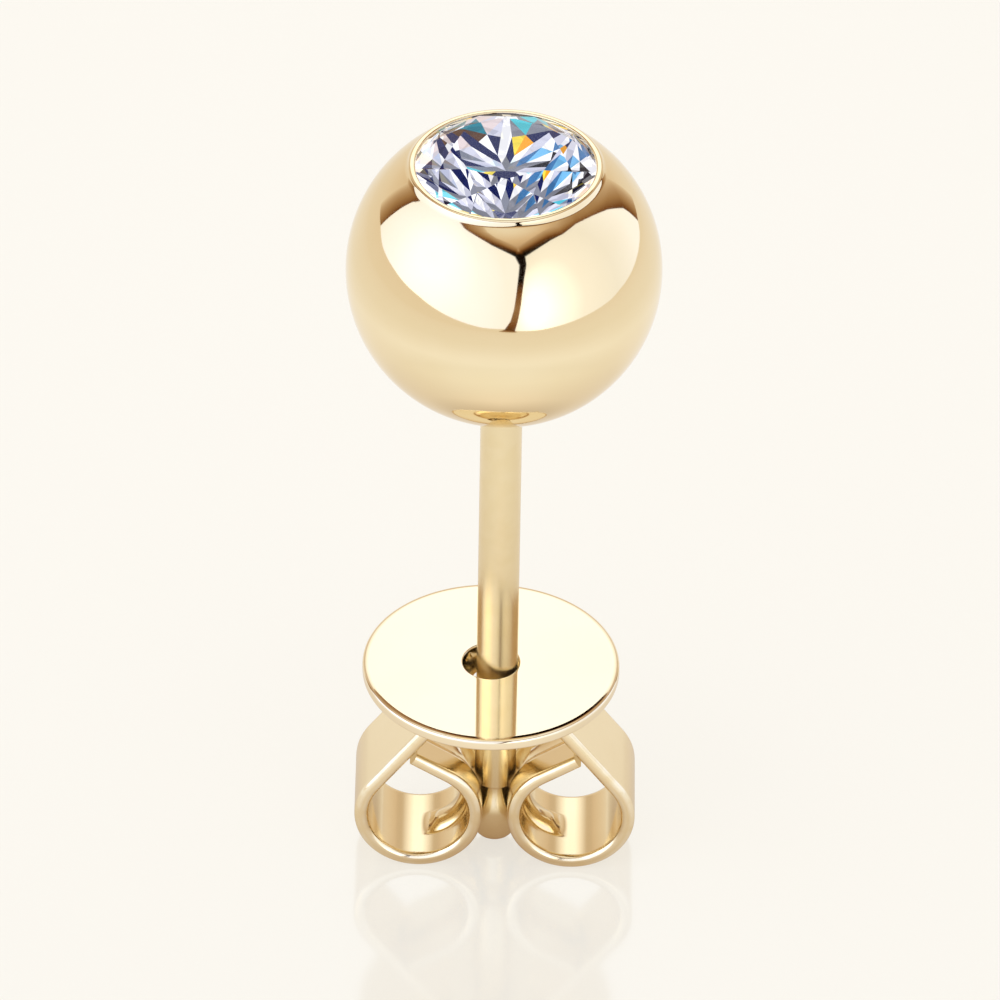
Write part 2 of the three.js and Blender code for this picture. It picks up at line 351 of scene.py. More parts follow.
def mark_edges(piece):
    """Writes the "edge" attribute: 1 on outward bends tighter than EDGE_RADIUS."""
    shell = bmesh.new()
    shell.from_mesh(piece.data)
    worn = [0.0] * len(shell.verts)
    for edge in shell.edges:
        if len(edge.link_faces) != 2:
            continue
        angle = edge.calc_face_angle_signed(0.0)
        across = sum(face.calc_area() for face in edge.link_faces) / max(2 * edge.calc_length(), WELD)
        curvature = angle / max(across, WELD)
        share = min(max(curvature * EDGE_RADIUS, 0.0), 1.0)
        for corner in edge.verts:
            worn[corner.index] = max(worn[corner.index], share)
    shell.free()
    mask = piece.data.attributes.new("edge", "FLOAT", "POINT")
    mask.data.foreach_set("value", worn)
    print(f"{piece.name}: {sum(share > 0.5 for share in worn)} points on tight edges")
    return piece


# %% [markdown]
# ## The bead and the post
# A jeweller turns round parts on a lathe: the cutter follows an outline while the work spins. The Screw
# modifier does that too, but a Geometry Nodes tree gives its sizes names, and bead, post and pad can
# share it. A circle carries the outline round the axis; the tree remembers the direction of each point
# on the circle and the radius and height of each point on the outline, and puts the two together.
# `open_tree` and `close_tree` are the beginning and the end of all three trees of this lesson.

# %% Geometry Nodes: turned on a lathe
def remember(tree, geometry, label, value):
    """Stores a vector on a curve's points, to be read after the curve has become a mesh."""
    kept = put(tree, "GeometryNodeCaptureAttribute", domain="POINT")
    kept.capture_items.new("VECTOR", label)
    tree.links.new(geometry, kept.inputs[0])
    tree.links.new(value, kept.inputs[1])
    return kept.outputs[0], kept.outputs[1]


def open_tree(name, sizes):
    """The beginning of every tree: a line or a part goes in with its sizes, and a piece comes out."""
    geometry = ("NodeSocketGeometry", None)
    return new_tree(name, "GeometryNodeTree", {
        "Geometry": geometry, **sizes, "Finish": ("NodeSocketMaterial", None)}, {"Geometry": geometry})


def close_tree(tree, geometry, given, out):
    """The end of every tree: no instances, and a finish on every face."""
    plain = put(tree, "GeometryNodeRealizeInstances", {0: geometry})
    finished = put(tree, "GeometryNodeSetMaterial", {"Geometry": plain.outputs[0],
                                                     "Material": given["Finish"]})
    tree.links.new(finished.outputs[0], out["Geometry"])


def lathe_tree():
    """Turns an outline of (radius, 0, height) points about the Z axis."""
    tree, given, out = open_tree("turned_on_a_lathe", {"Steps Round": ("NodeSocketInt", 256)})
    place = put(tree, "GeometryNodeInputPosition").outputs[0]
    outline = put(tree, "GeometryNodeMeshToCurve", {"Mesh": given["Geometry"]}).outputs[0]
    outline, outline_place = remember(tree, outline, "outline", place)
    ring = put(tree, "GeometryNodeCurvePrimitiveCircle", {
        "Resolution": given["Steps Round"], "Radius": 1.0}, mode="RADIUS").outputs[0]
    ring, ring_place = remember(tree, ring, "direction", place)
    skin = put(tree, "GeometryNodeCurveToMesh", {"Curve": ring, "Profile Curve": outline})
    radius_height = put(tree, "ShaderNodeSeparateXYZ", {0: outline_place}).outputs
    direction = put(tree, "ShaderNodeSeparateXYZ", {0: ring_place}).outputs
    turned_place = put(tree, "ShaderNodeCombineXYZ", {
        0: sum_up(tree, "MULTIPLY", direction[0], radius_height[0]),
        1: sum_up(tree, "MULTIPLY", direction[1], radius_height[0]),
        2: radius_height[2]})
    turned = put(tree, "GeometryNodeSetPosition", {
        "Geometry": skin.outputs[0], "Position": turned_place.outputs[0]})
    welded = put(tree, "GeometryNodeMergeByDistance", {"Geometry": turned.outputs[0], "Distance": WELD})
    close_tree(tree, welded.outputs[0], given, out)
    return tree


lathe = lathe_tree()
print("tree:", lathe.name)


def turned_piece(name, outline, finish, steps_round, middle=(0, 0), closed=False):
    """A lathe piece from (radius, height) pairs, with its axis at middle."""
    points = [(radius, 0, height) for radius, height in outline]
    piece = shaped(name, line_mesh(name, points, closed), lathe,
                   {"Steps Round": steps_round, "Finish": finish})
    piece.data.transform(Matrix.Translation((*middle, 0)))
    return mark_edges(tidy_shell(piece))


# %% [markdown]
# The bead is a hollow ball. Near its top the surface runs up through a soft hollow into a thin raised
# lip, the bezel that is rubbed over the stone's edge. Inside the lip a cup follows the underside of
# the stone, and a small hole in the cup's floor leaves room for the stone's point. A seat cut into a
# sphere would leave ragged faces at the lip, where a mirror shows every fault. One outline of arcs
# gives the skin, the lip, the cup and the inner wall at once, and closed.

# %% The bead
lip_inner = 1.7 * MM
inner_round = 0.04 * MM
outer_round = 0.07 * MM
land = 0.04 * MM
hollow_round = 0.3 * MM
wall = 0.5 * MM
cup_wall = 0.35 * MM
lip_depth = 0.09 * MM
seat_gap = 0.04 * MM
girdle_radius = stone_box[1].x
bore_radius = 0.5 * MM
pavilion_slope = math.tan(math.radians(40.8))
crown_slope = math.tan(math.radians(34.5))
TABLE_SHARE = 0.57
MAINS = 8
table_radius = girdle_radius * TABLE_SHARE
girdle_top = stone_box[1].z - (girdle_radius - table_radius) * crown_slope
girdle_band = 0.05 * MM


def hollow_between(first, first_radius, second, second_radius, radius, steps):
    """A hollow arc that touches two rounds from outside, and the angles at which it leaves them."""
    (x, z), (u, w) = first, second
    apart = math.hypot(u - x, w - z)
    reach, far = first_radius + radius, second_radius + radius
    along = (reach ** 2 - far ** 2 + apart ** 2) / (2 * apart)
    aside = math.sqrt(reach ** 2 - along ** 2)
    way = ((u - x) / apart, (w - z) / apart)
    centre = (x + way[0] * along + way[1] * aside, z + way[1] * along - way[0] * aside)
    leaves = math.degrees(math.atan2(centre[1] - z, centre[0] - x))
    meets = math.degrees(math.atan2(centre[1] - w, centre[0] - u))
    return arc(centre, radius, leaves + 180, meets + 180, steps), leaves, meets


def bead_outline():
    """From the bead's foot up the outside, over the lip, down the cup and round the inside."""
    crest = lip_top - bead_height
    outer = (lip_inner + inner_round + land, crest - outer_round)
    hollow, leaves, meets = hollow_between((0, 0), bead_radius, outer, outer_round, hollow_round, 12)
    inner = bead_radius - wall
    seat_apex = girdle_top - girdle_band - seat_gap - bead_height - girdle_radius * pavilion_slope
    grade = math.hypot(1, pavilion_slope)
    cup_apex = seat_apex - cup_wall * grade
    cup_radius = math.sqrt((inner * grade) ** 2 - cup_apex ** 2) - pavilion_slope * cup_apex
    cup_radius /= grade ** 2
    cup_rim = math.degrees(math.atan2(cup_apex + cup_radius * pavilion_slope, cup_radius))
    seat_radius = girdle_radius + seat_gap
    lip_foot = crest - lip_depth
    return [
        *arc((0, 0), bead_radius, -90, leaves, 90),
        *hollow[1:-1],
        *arc(outer, outer_round, meets, 90, 10),
        *arc((lip_inner + inner_round, crest - inner_round), inner_round, 90, 180, 8),
        (lip_inner, lip_foot),
        (seat_radius, lip_foot),
        (seat_radius, seat_apex + seat_radius * pavilion_slope),
        (bore_radius, seat_apex + bore_radius * pavilion_slope),
        (bore_radius, cup_apex + bore_radius * pavilion_slope),
        *arc((0, 0), inner, cup_rim, -90, 40),
    ]


BEAD_STEPS = 288
bead = turned_piece("bead", [(r, z + bead_height) for r, z in bead_outline()], bead_gold, BEAD_STEPS)

# %% [markdown]
# The post is drawn wire. A notch near its tip is what the clutch clicks into, and below it the wire
# swells out again slowly, so that the clutch can be pushed on. Where the wire meets the bead a little
# solder fills the corner. A cylinder would need a cut for the notch and a separate ring for the solder.
# All of it is round, so the lathe turns it from one more outline.

# %% The post
post_radius = 0.4 * MM
tip_round = 0.2 * MM
notch_height = 1.24 * MM
notch_radius = 0.27 * MM
notch_flare = 0.55 * MM
notch_shoulder = 0.14 * MM
notch_flat = 0.02 * MM
solder = 0.12 * MM
post_let_in = 0.1 * MM
POST_STEPS = 96


def post_outline():
    """From the tip up through the notch and into the bead."""
    def side(foot, length, start, end, steps=16):
        shares = [i / steps for i in range(steps + 1)]
        return [(start + (end - start) * (1 - math.cos(math.pi * share)) / 2, foot + length * share)
                for share in shares]

    foot_of_bead = post_length + round_radius - math.sqrt(bead_radius ** 2 - (post_radius + solder) ** 2)
    return [
        (0, 0),
        *arc((post_radius - tip_round, tip_round), tip_round, -90, 0, 8),
        *side(notch_height - notch_flare, notch_flare, post_radius, notch_radius),
        *side(notch_height + notch_flat, notch_shoulder, notch_radius, post_radius),
        *arc((post_radius + solder, foot_of_bead - solder), solder, 180, 90, 8),
        (post_radius + solder, post_length + post_let_in),
        (0, post_length + post_let_in),
    ]


post = turned_piece("post", [(r, z + tip_height) for r, z in post_outline()], post_gold, POST_STEPS)

# %% [markdown]
# ## The clutch
# The pad is a round disc with a rounded rim and a hole that the post passes through, soldered on a
# little to the left of the post. Pressing and polishing have made its top fall by a hair before the
# rim, and that soft edge is what draws a thin dark line there. A cylinder with a Bevel modifier would
# stay flat up to its rim and lose the line, so the pad is turned too, from a closed outline.

# %% The pad
pad_radius = clutch_box[1].y
pad_thickness = 0.25 * MM
pad_round = 0.07 * MM
pad_fall = 0.5 * MM
FALL_TURN = 11  # degrees that the top has turned downwards where it meets the rim's round
hole_radius = 0.55 * MM
hole_round = 0.03 * MM
pad_shift = -0.12 * MM
PAD_STEPS = 256


def pad_outline():
    """A closed section of the disc, from the hole to the rim."""
    low, high = pad_top - pad_thickness, pad_top
    rim, hole = pad_radius - pad_round, hole_radius + hole_round
    meets = math.radians(90 - FALL_TURN)
    fall = (rim - (pad_fall - pad_round) * math.cos(meets), high - pad_fall)
    shoulder = (rim, fall[1] + (pad_fall - pad_round) * math.sin(meets))
    return [
        *arc((rim, low + pad_round), pad_round, -90, 0, 8),
        *arc(shoulder, pad_round, 0, 90 - FALL_TURN, 8),
        *arc(fall, pad_fall, 90 - FALL_TURN, 90, 6),
        (hole + hole_round, high),
        *arc((hole, high - hole_round), hole_round, 90, 180, 5),
        *arc((hole, low + hole_round), hole_round, 180, 270, 5),
    ]


pad = turned_piece("clutch_pad", pad_outline(), pad_gold, PAD_STEPS, (pad_shift, 0), closed=True)

# %% [markdown]
# The butterfly is one strip of sheet, bent under the pad and rolled into a loop on each side. Its
# route is a short list of runs and bends, as a jeweller would bend it with pliers, followed from the
# middle to the left and mirrored for the right. Curve handles could draw the loops as well, but runs and
# bends keep every radius true. Along the rising part of each loop a round groove is pressed into the
# sheet, for the post to run in. `groove` says how deep it is at the end of a row, from 0 to 1.

# %% The strip's route
strip_width = 2.0 * MM
strip_thickness = 0.27 * MM
strip_round = 0.11 * MM
soldered = 0.028 * MM
loop_radius = 1.115 * MM
BEND_STEP = 3.0
RUN_STEP = 0.12 * MM

ROUTE = [
    {"part": "seat under the pad", "run": 0.69 * MM, "groove": 0},
    {"part": "shoulder", "radius": 0.25 * MM, "turn": 53, "groove": 0},
    {"part": "arm", "run": 2.48 * MM, "groove": 0},
    {"part": "outer side and floor", "radius": loop_radius, "turn": 130, "groove": 0},
    {"part": "groove run-in", "radius": loop_radius, "turn": 27, "groove": 1},
    {"part": "rise to the post", "radius": loop_radius, "turn": 60, "groove": 1},
    {"part": "nape", "radius": loop_radius, "turn": 58, "groove": 0.8},
    {"part": "tail", "run": 0.82 * MM, "groove": 0.6},
]


def half_route():
    """Points (x, z) of the left half's middle line, and the groove's depth at each."""
    x, z, heading, depth = 0.0, pad_top - pad_thickness - strip_thickness / 2 + soldered, math.pi, 0.0
    points, depths = [(x, z)], [depth]
    for row in ROUTE:
        turn = math.radians(row.get("turn", 0))
        length = row.get("run") or row["radius"] * turn
        steps = round(row["turn"] / BEND_STEP) if turn else round(length / RUN_STEP)
        start_depth = depth
        for i in range(1, steps + 1):
            chord = 2 * row["radius"] * math.sin(turn / steps / 2) if turn else length / steps
            x += chord * math.cos(heading + turn / steps / 2)
            z += chord * math.sin(heading + turn / steps / 2)
            heading += turn / steps
            share = i / steps
            depth = start_depth + (row["groove"] - start_depth) * share * share * (3 - 2 * share)
            points.append((x, z))
            depths.append(depth)
    return points, depths


def strip_line():
    """The whole strip's middle line, from the right tail to the left one."""
    points, depths = half_route()
    right = [(-x, 0, z) for x, z in reversed(points[1:])]
    mesh = line_mesh("clutch_strip", right + [(x, 0, z) for x, z in points])
    mark = mesh.attributes.new("groove", "FLOAT", "POINT")
    mark.data.foreach_set("value", list(reversed(depths[1:])) + depths)
    return mesh


strip_points = strip_line()
print("route:", len(strip_points.vertices), "points")

# %% [markdown]
# The second tree sweeps a rounded section along that route. A bevelled curve object could do this much,
# but it couldn't press a groove. The middle line's direction at each point gives the sheet's outward
# side, and the groove's press is worked out across the width as part of a circle that just clears the
# post. A smooth maximum softens the groove's two shores, as a real punch would. Last, a cutter drills
# the hole for the post through the seat, closer round the post than the pad's own hole and widening
# upwards, so that shaded gold shows through the pad beside the post.

# %% Geometry Nodes: strip bent along a route
seat_hole_radius = 0.45 * MM
seat_hole_shift = -0.03 * MM
countersink = 0.22 * MM
cutter_spare = 0.02 * MM
groove_radius = 0.42 * MM
post_gap = 0.242 * MM
groove_softness = 0.05 * MM
section_step = 0.03 * MM
EDGE_STEPS = 8
CUTTER_STEPS = 96
seat_foot = pad_top - pad_thickness + soldered - strip_thickness - cutter_spare


def strip_tree():
    """Sweeps the sheet's section along a route in the XZ plane and presses the groove into it."""
    length = "NodeSocketFloat"
    tree, given, out = open_tree("strip_bent_along_a_route", {
        "Width": (length, strip_width),
        "Thickness": (length, strip_thickness),
        "Edge Round": (length, strip_round),
        "Section Step": (length, section_step),
        "Groove Radius": (length, groove_radius),
        "Post Gap": (length, post_gap),
        "Groove Softness": (length, groove_softness),
        "Hole Radius": (length, seat_hole_radius),
        "Countersink": (length, countersink),
        "Hole Shift": (length, seat_hole_shift),
        "Hole Height": (length, seat_foot),
    })
    place = put(tree, "GeometryNodeInputPosition").outputs[0]
    route = put(tree, "GeometryNodeMeshToCurve", {"Mesh": given["Geometry"]}).outputs[0]
    route, route_place = remember(tree, route, "route", place)
    route, route_way = remember(tree, route, "way", put(tree, "GeometryNodeInputTangent").outputs[0])
    section = put(tree, "GeometryNodeCurvePrimitiveQuadrilateral", {
        "Width": given["Width"], "Height": given["Thickness"]}).outputs[0]
    section = put(tree, "GeometryNodeFilletCurve", {
        "Curve": section, "Radius": given["Edge Round"], "Count": EDGE_STEPS}, mode="POLY").outputs[0]
    section = put(tree, "GeometryNodeResampleCurve", {
        "Curve": section, "Length": given["Section Step"]}, mode="LENGTH").outputs[0]
    section, section_place = remember(tree, section, "section", place)
    skin = put(tree, "GeometryNodeCurveToMesh", {
        "Curve": route, "Profile Curve": section, "Fill Caps": True}).outputs[0]
    across = put(tree, "ShaderNodeSeparateXYZ", {0: section_place}).outputs
    way = put(tree, "ShaderNodeSeparateXYZ", {0: route_way}).outputs
    outward = put(tree, "ShaderNodeCombineXYZ", {
        0: way[2], 2: sum_up(tree, "MULTIPLY", way[0], -1.0)}).outputs[0]
    radius_squared = sum_up(tree, "POWER", given["Groove Radius"], 2.0)
    across_squared = sum_up(tree, "POWER", across[0], 2.0)
    inside = sum_up(tree, "MAXIMUM", sum_up(tree, "SUBTRACT", radius_squared, across_squared), 0.0)
    press = sum_up(tree, "SUBTRACT", sum_up(tree, "SQRT", inside), given["Post Gap"])
    press = sum_up(tree, "SMOOTH_MAX", press, 0.0, given["Groove Softness"])
    depth = put(tree, "GeometryNodeInputNamedAttribute", {"Name": "groove"}, data_type="FLOAT").outputs[0]
    pressed = sum_up(tree, "SUBTRACT", across[1], sum_up(tree, "MULTIPLY", press, depth))
    raised = put(tree, "ShaderNodeVectorMath", {
        0: outward, "Scale": pressed}, operation="SCALE").outputs[0]
    sideways = put(tree, "ShaderNodeCombineXYZ", {1: across[0]}).outputs[0]
    offset = put(tree, "ShaderNodeVectorMath", {0: raised, 1: sideways}, operation="ADD").outputs[0]
    final = put(tree, "ShaderNodeVectorMath", {0: route_place, 1: offset}, operation="ADD").outputs[0]
    bent = put(tree, "GeometryNodeSetPosition", {"Geometry": skin, "Position": final}).outputs[0]
    mouth = sum_up(tree, "ADD", given["Hole Radius"], given["Countersink"])
    cutter = put(tree, "GeometryNodeMeshCone", {
        "Vertices": CUTTER_STEPS, "Radius Top": mouth, "Radius Bottom": given["Hole Radius"],
        "Depth": strip_thickness + 2 * cutter_spare}, fill_type="NGON").outputs[0]
    cutter_place = put(tree, "ShaderNodeCombineXYZ", {0: given["Hole Shift"], 2: given["Hole Height"]})
    cutter = put(tree, "GeometryNodeTransform", {
        "Geometry": cutter, "Translation": cutter_place.outputs[0]}).outputs[0]
    drilled = put(tree, "GeometryNodeMeshBoolean", {0: bent, 1: cutter},
                  operation="DIFFERENCE", solver="EXACT")
    close_tree(tree, drilled.outputs[0], given, out)
    return tree


strip = shaped("clutch_strip", strip_points, strip_tree(), {"Finish": strip_gold})
mark_edges(tidy_shell(strip))

# %% [markdown]
# ## The stone
# A round brilliant repeats one wedge eight times: an eighth of the table, a star facet, a kite, two
# upper halves, the girdle, two lower halves and a main. A cutter grinds them as planes, and a block cut
# by planes would give the same stone, but no names for its corners. So the wedge is drawn once, corner
# by corner, from the girdle's width and the two slopes that make a brilliant bright.

# %% Corners of one wedge
HALF_STEP = math.pi / MAINS
STAR_SHARE = 0.5
LOWER_HALF_SHARE = 0.77
HEART_SHARE = 0.21
PATCH_SHARES = {"inner": 0.5, "near": 0.33, "far": 0.66, "low": 0.4, "high": 0.72}
table_edge = table_radius * math.cos(HALF_STEP)
star_radius = table_edge + STAR_SHARE * (girdle_radius - table_edge)
lower_radius = girdle_radius * (1 - LOWER_HALF_SHARE)
heart_radius = HEART_SHARE * girdle_radius


def crown_height(radius):
    return girdle_top + (girdle_radius - radius) * crown_slope


def pavilion_height(radius):
    return girdle_top - girdle_band - (girdle_radius - radius) * pavilion_slope


def wedge_corners():
    """The named corners of one wedge; left and right are its two sides."""
    def at(radius, step, height):
        return Vector((radius * math.cos(step * HALF_STEP), radius * math.sin(step * HALF_STEP), height))

    corners = {
        "table middle": at(0, 0, stone_box[1].z),
        "table": at(table_radius, 0, stone_box[1].z),
        "top": at(girdle_radius, 0, girdle_top),
        "foot": at(girdle_radius, 0, girdle_top - girdle_band),
        "heart": at(heart_radius, 0, pavilion_height(heart_radius)),
        "point": at(0, 0, pavilion_height(0)),
    }
    for side, step in (("left", 1), ("right", -1)):
        low = pavilion_height(lower_radius * math.cos(HALF_STEP))
        half = corners["half " + side] = at(lower_radius, step, low)
        foot = corners["foot " + side] = at(girdle_radius, step, girdle_top - girdle_band)
        corners["table " + side] = at(table_edge, step, stone_box[1].z)
        corners["star " + side] = at(star_radius, step, crown_height(star_radius * math.cos(HALF_STEP)))
        corners["top " + side] = at(girdle_radius, step, girdle_top)
        corners["inner " + side] = corners["point"].lerp(half, PATCH_SHARES["inner"])
        ends = {"near": corners["foot"], "far": corners["foot"], "low": foot, "high": foot}
        for label, end in ends.items():
            corners[f"{label} {side}"] = half.lerp(end, PATCH_SHARES[label])
    return corners


print(f"stone {2000 * girdle_radius:.2f} mm wide, its table {2000 * table_radius:.2f} mm")

# %% [markdown]
# Light that has bounced about inside a real stone breaks each lower facet into smaller patches. Only the
# eye sees them, the stone itself has flat facets. So the lower facets are divided into numbered patches
# that still lie flat, and the crown keeps the facets that a cutter would grind.

# %% Facets and patches of one wedge
PATCHES = 12


def stone_wedge():
    """An eighth of the stone; the "patch" attribute numbers the patches of its underside."""
    facets = [
        ("table middle", "table right", "table", "table left"),
        ("table left", "table", "star left"),
        ("table", "table right", "star right"),
        ("table", "star right", "top", "star left"),
        ("star left", "top", "top left"),
        ("star right", "top right", "top"),
        ("top", "foot", "foot left", "top left"),
        ("top right", "foot right", "foot", "top"),
    ]
    patches = [(0, ("point", "inner left", "heart", "inner right")),
               (1, ("heart", "near left", "far left", "foot", "far right", "near right"))]
    for first, side in ((2, "left"), (7, "right")):
        half, foot = "half " + side, "foot " + side
        inner, near, far = "inner " + side, "near " + side, "far " + side
        low, high = "low " + side, "high " + side
        patches += [(first, (inner, half, near, "heart")), (first + 1, (half, low, near)),
                    (first + 2, (low, far, near)), (first + 3, (low, high, far)),
                    (first + 4, (high, foot, "foot")), (first + 4 + PATCHES, (high, "foot", far))]
    corners = wedge_corners()
    order = {label: i for i, label in enumerate(corners)}
    mesh = bpy.data.meshes.new("stone_wedge")
    outlines = [[order[label] for label in facet] for facet in facets]
    outlines += [[order[label] for label in patch] for number, patch in patches]
    mesh.from_pydata(list(corners.values()), [], outlines)
    numbers = mesh.attributes.new("patch", "INT", "FACE")
    numbers.data.foreach_set("value", [-1] * len(facets) + [number for number, patch in patches])
    return mesh


# %% [markdown]
# An Array modifier could repeat the wedge, but it would need an empty to turn by. The third tree needs
# only a wedge and a number: points that all lie on the axis each carry a copy, and each copy is turned
# by its own number's share of a full turn. Welding makes one closed stone of them.

# %% Geometry Nodes: repeated round the axis
def round_tree():
    """Sets a number of copies of a wedge round the Z axis and welds them."""
    tree, given, out = open_tree("repeated_round_the_axis", {"Wedges": ("NodeSocketInt", MAINS)})
    spots = put(tree, "GeometryNodeMeshLine", {"Count": given["Wedges"], "Offset": (0, 0, 0)}).outputs[0]
    number = put(tree, "GeometryNodeInputIndex").outputs[0]
    angle = sum_up(tree, "DIVIDE", sum_up(tree, "MULTIPLY", number, 2 * math.pi), given["Wedges"])
    turn = put(tree, "ShaderNodeCombineXYZ", {2: angle}).outputs[0]
    copies = put(tree, "GeometryNodeInstanceOnPoints", {
        "Points": spots, "Instance": given["Geometry"], "Rotation": turn}).outputs[0]
    plain = put(tree, "GeometryNodeRealizeInstances", {0: copies}).outputs[0]
    welded = put(tree, "GeometryNodeMergeByDistance", {"Geometry": plain, "Distance": WELD})
    close_tree(tree, welded.outputs[0], given, out)
    return tree


# %% [markdown]
# The crown is clear crystal that bends light strongly. The facets underneath work as mirrors, because
# light that meets them so flatly is thrown back whole, and that is where the fire comes from. Solid
# glass all through would need a room with hundreds of small lights before it sparkled. Here each patch
# is a mirror painted with a colour of reflected light, and it glows with some of that colour as painted
# light, though it is no lamp, as if the light of a larger room had come back through it.

# %% Materials of the stone
def stone_material(name, settings, fire_and_tint_inputs):
    """A Principled material; a share of each facet's colour (the glass's tint on the crown, painted fire
    underneath) fills the inputs listed last.
    """
    material, tree = new_material(name)
    surface = tree.nodes["Principled BSDF"]
    for label, value in settings.items():
        surface.inputs[label].default_value = value
    tint_and_fire = put(tree, "ShaderNodeAttribute", attribute_name="glass_tint_and_painted_fire").outputs["Color"]
    for label, share in fire_and_tint_inputs.items():
        shade = put(tree, "ShaderNodeVectorMath", {0: tint_and_fire, 3: share}, operation="SCALE")
        tree.links.new(shade.outputs[0], surface.inputs[label])
    return material


stone_crown = stone_material("stone_crown", {
    "Transmission Weight": 1.0, "IOR": 2.4, "Roughness": 0.0, "Specular Tint": (0.05, 0.05, 0.06, 1)},
    {"Base Color": 1.0})
# The underside glows with painted light: a share of its painted fire colours is given off as emission,
# though it is no lamp.
stone_painted_fire = stone_material("stone_painted_fire", {
    "Metallic": 1.0, "Roughness": 0.0, "Emission Strength": 1.0},
    {"Base Color": 0.25, "Emission Color": 0.8})
print("finishes:", stone_crown.name, stone_painted_fire.name)

# %% [markdown]
# Random colours would clump, so the painted fire is listed in a short table of letters. A row of letters
# paints one wedge, and the rows go round anticlockwise from the right-hand side. The order in a row is:
# heart, long tip, then shoulder and four patches outwards on the left, then the same five on the right.
# The outermost patches are cut in two, and the second half is a painted reflection of a wedge across
# the stone: it takes the colour from three rows further on.

# %% The stone
# Painted reflections and painted fire for the underside's patches, one colour to a letter; none is the
# stone's own colour.
PAINTED_FIRE_COLOURS = {
    "W": (1.1, 1.1, 1.14), "L": (0.66, 0.67, 0.8), "G": (0.26, 0.27, 0.32),
    "K": (0.003, 0.003, 0.01), "N": (0.008, 0.015, 0.1), "B": (0.06, 0.2, 0.45),
    "S": (0.2, 0.55, 0.9), "C": (0.1, 0.65, 0.75), "T": (0.01, 0.22, 0.3),
    "Y": (1.0, 0.8, 0.08), "O": (1.0, 0.42, 0.02), "P": (0.8, 0.68, 0.68), "R": (0.1, 0.04, 0.02),
}
CLEAR_TINT = (0.95, 0.96, 1.0)
ROWS_ON = 3
PAINTED_FIRE_ROWS = [
    "GK" + "GWKWG" + "LLWPW",
    "GL" + "WONGW" + "BSWBK",
    "GW" + "WNLPW" + "NYGCW",
    "LN" + "WLPWW" + "NWRTW",
    "GN" + "GCWWW" + "LGNWG",
    "NG" + "NWGGW" + "YWKLW",
    "NK" + "NYWLW" + "NWYGW",
    "NL" + "WCGNW" + "NRWNW",
]


def paint_fire_on_facets(piece):
    """Gives the crown the glass's clear tint, paints the underside's patches with painted fire, and gives
    them a mirror finish.
    """
    mesh = piece.data
    mesh.materials.append(stone_painted_fire)
    # The crown's facets carry the glass's clear tint, and the underside's patches carry painted fire.
    tint_and_fire_layer = mesh.attributes.new("glass_tint_and_painted_fire", "FLOAT_COLOR", "CORNER")
    for facet, number in zip(mesh.polygons, mesh.attributes["patch"].data):
        colour = CLEAR_TINT
        if number.value >= 0:
            turn = round(math.atan2(facet.center.y, facet.center.x) / (2 * math.pi) * MAINS)
            row = PAINTED_FIRE_ROWS[(turn + ROWS_ON * (number.value // PATCHES)) % MAINS]
            colour = PAINTED_FIRE_COLOURS[row[number.value % PATCHES]]
            facet.material_index = 1
        for corner in facet.loop_indices:
            tint_and_fire_layer.data[corner].color = (*colour, 1)


stone = shaped("brilliant", stone_wedge(), round_tree(), {"Finish": stone_crown})
tidy_shell(stone)
stone.data.shade_flat()
paint_fire_on_facets(stone)

# %% [markdown]
# ## Riding on the frame
# A parent set by hand could make a piece move. Here each new piece is parented to an empty named
# after its body, so that it moves with that body, and the imported node that it replaces is hidden.

# %% Tie the pieces to the frame
for piece in (bead, post):
    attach(piece, "stud")
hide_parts("bead_and_post")
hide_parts("bead_and_post")
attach(stone, "stud")
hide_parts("stone")
for piece in (pad, strip):
    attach(piece, "clutch")
    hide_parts("clutch")
print("on the stud:", bead.name, post.name, stone.name, "- on the clutch:", pad.name, strip.name)

# %% [markdown]
# ## The studio
# A mirror shows its studio. Polished gold has no look of its own: it looks like what stands round it.
# Lamps would light it, but a mirror also shows the lamp's outline, and only a sheet can be given any
# outline. So each light is a sheet, placed by the direction in which the bead mirrors it. `toward`
# turns an azimuth (0 towards the camera, positive to the right) and an elevation into a direction,
# `on_card` finds where that direction meets a flat sheet, and `hang` hangs the sheet there.

# %% Directions and sheets
def toward(azimuth, elevation):
    """A direction from the bead, in degrees: azimuth 0 is the camera's side and 90 the right."""
    a, e = math.radians(azimuth), math.radians(elevation)
    return Vector((math.sin(a) * math.cos(e), -math.cos(a) * math.cos(e), math.sin(e)))


def on_card(facing, distance, azimuth, elevation):
    """The point of a flat sheet across `facing` that lies in a direction from the bead's middle."""
    way, across = toward(azimuth, elevation), toward(*facing)
    return Vector((0, 0, bead_height)) + way * (distance / way.dot(across))


def hang(name, points, faces, material):
    """A sheet of the studio, seen by the gold and the stone but not by the camera."""
    mesh = bpy.data.meshes.new(name)
    mesh.from_pydata(points, [], faces)
    mesh.materials.append(material)
    sheet = in_scene(name, mesh)
    sheet.visible_camera = False
    return sheet


print("towards the camera:", tuple(round(v, 2) for v in toward(0, 0)))

# %% [markdown]
# A softbox is brightest where its lamp is and falls off around it. An even glow would look like paper,
# and a painted one would need a file of its own. A tone that changes with the distance from one
# spot is enough: `glow` makes such a light, and `card` hangs it with its spot in a given direction.

# %% Light that falls off from a spot
def ramp(tree, share, stops):
    """A Color Ramp node from (share, (red, green, blue)) pairs."""
    made = put(tree, "ShaderNodeValToRGB", {0: share})
    tones = made.color_ramp.elements
    while len(tones) < len(stops):
        tones.new(1.0)
    for tone, (position, colour) in zip(tones, stops):
        tone.position = position
        tone.color = (*colour, 1)
    return made.outputs[0]


